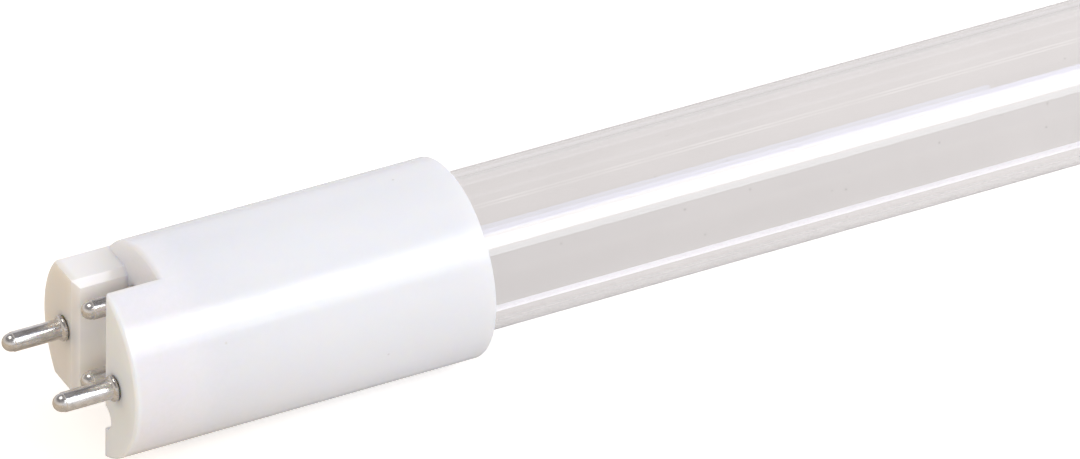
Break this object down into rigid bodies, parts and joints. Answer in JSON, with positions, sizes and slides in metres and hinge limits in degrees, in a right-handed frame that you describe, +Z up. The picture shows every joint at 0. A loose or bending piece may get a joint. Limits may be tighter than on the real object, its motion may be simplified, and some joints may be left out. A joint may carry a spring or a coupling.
{
  "type": "germicidal ultraviolet lamp tube",
  "caption": "Straight glass ultraviolet lamp tube with a slotted white pin base at one end and a plain cap at the other.",
  "frame": {"origin": "on the lamp's axis, in the plane of the two prong faces that meet the lamp holder", "axes": "+X along the lamp from the pin base to the far cap, +Y towards the narrow key prong, +Z up along the slot"},
  "size_m": [0.2198, 0.024, 0.024],
  "materials": {
    "base_plastic": "white moulded plastic, smooth satin gloss",
    "cap_plastic": "white moulded plastic, smooth satin gloss",
    "pin_metal": "nickel-plated, turned, bright",
    "lamp_glass": "clear glass with a faint grey haze",
    "stem_glass": "clear pressed glass",
    "filament_wire": "coiled wire with a pale oxide coating",
    "lead_wire": "drawn nickel wire",
    "return_wire": "drawn nickel wire",
    "wire_sleeve": "milky heat-resistant sleeve",
    "cement": "dry, grainy basing cement",
    "mercury": "liquid metal drop"
  },
  "bodies": {
    "root": {"base_shell": "base_plastic", "end_cap": "cap_plastic", "front_prong_pin": "pin_metal", "back_prong_pin": "pin_metal", "upper_slot_pin": "pin_metal", "lower_slot_pin": "pin_metal", "glass_tube": "lamp_glass", "near_stem": "stem_glass", "far_stem": "stem_glass", "near_filament": "filament_wire", "far_filament": "filament_wire", "near_lead_front": "lead_wire", "near_lead_back": "lead_wire", "far_lead_front": "lead_wire", "far_lead_back": "lead_wire", "upper_return_wire": "return_wire", "lower_return_wire": "return_wire", "upper_wire_sleeve": "wire_sleeve", "lower_wire_sleeve": "wire_sleeve", "base_cement": "cement", "cap_cement": "cement", "mercury_bead": "mercury"}
  },
  "joints": []
}
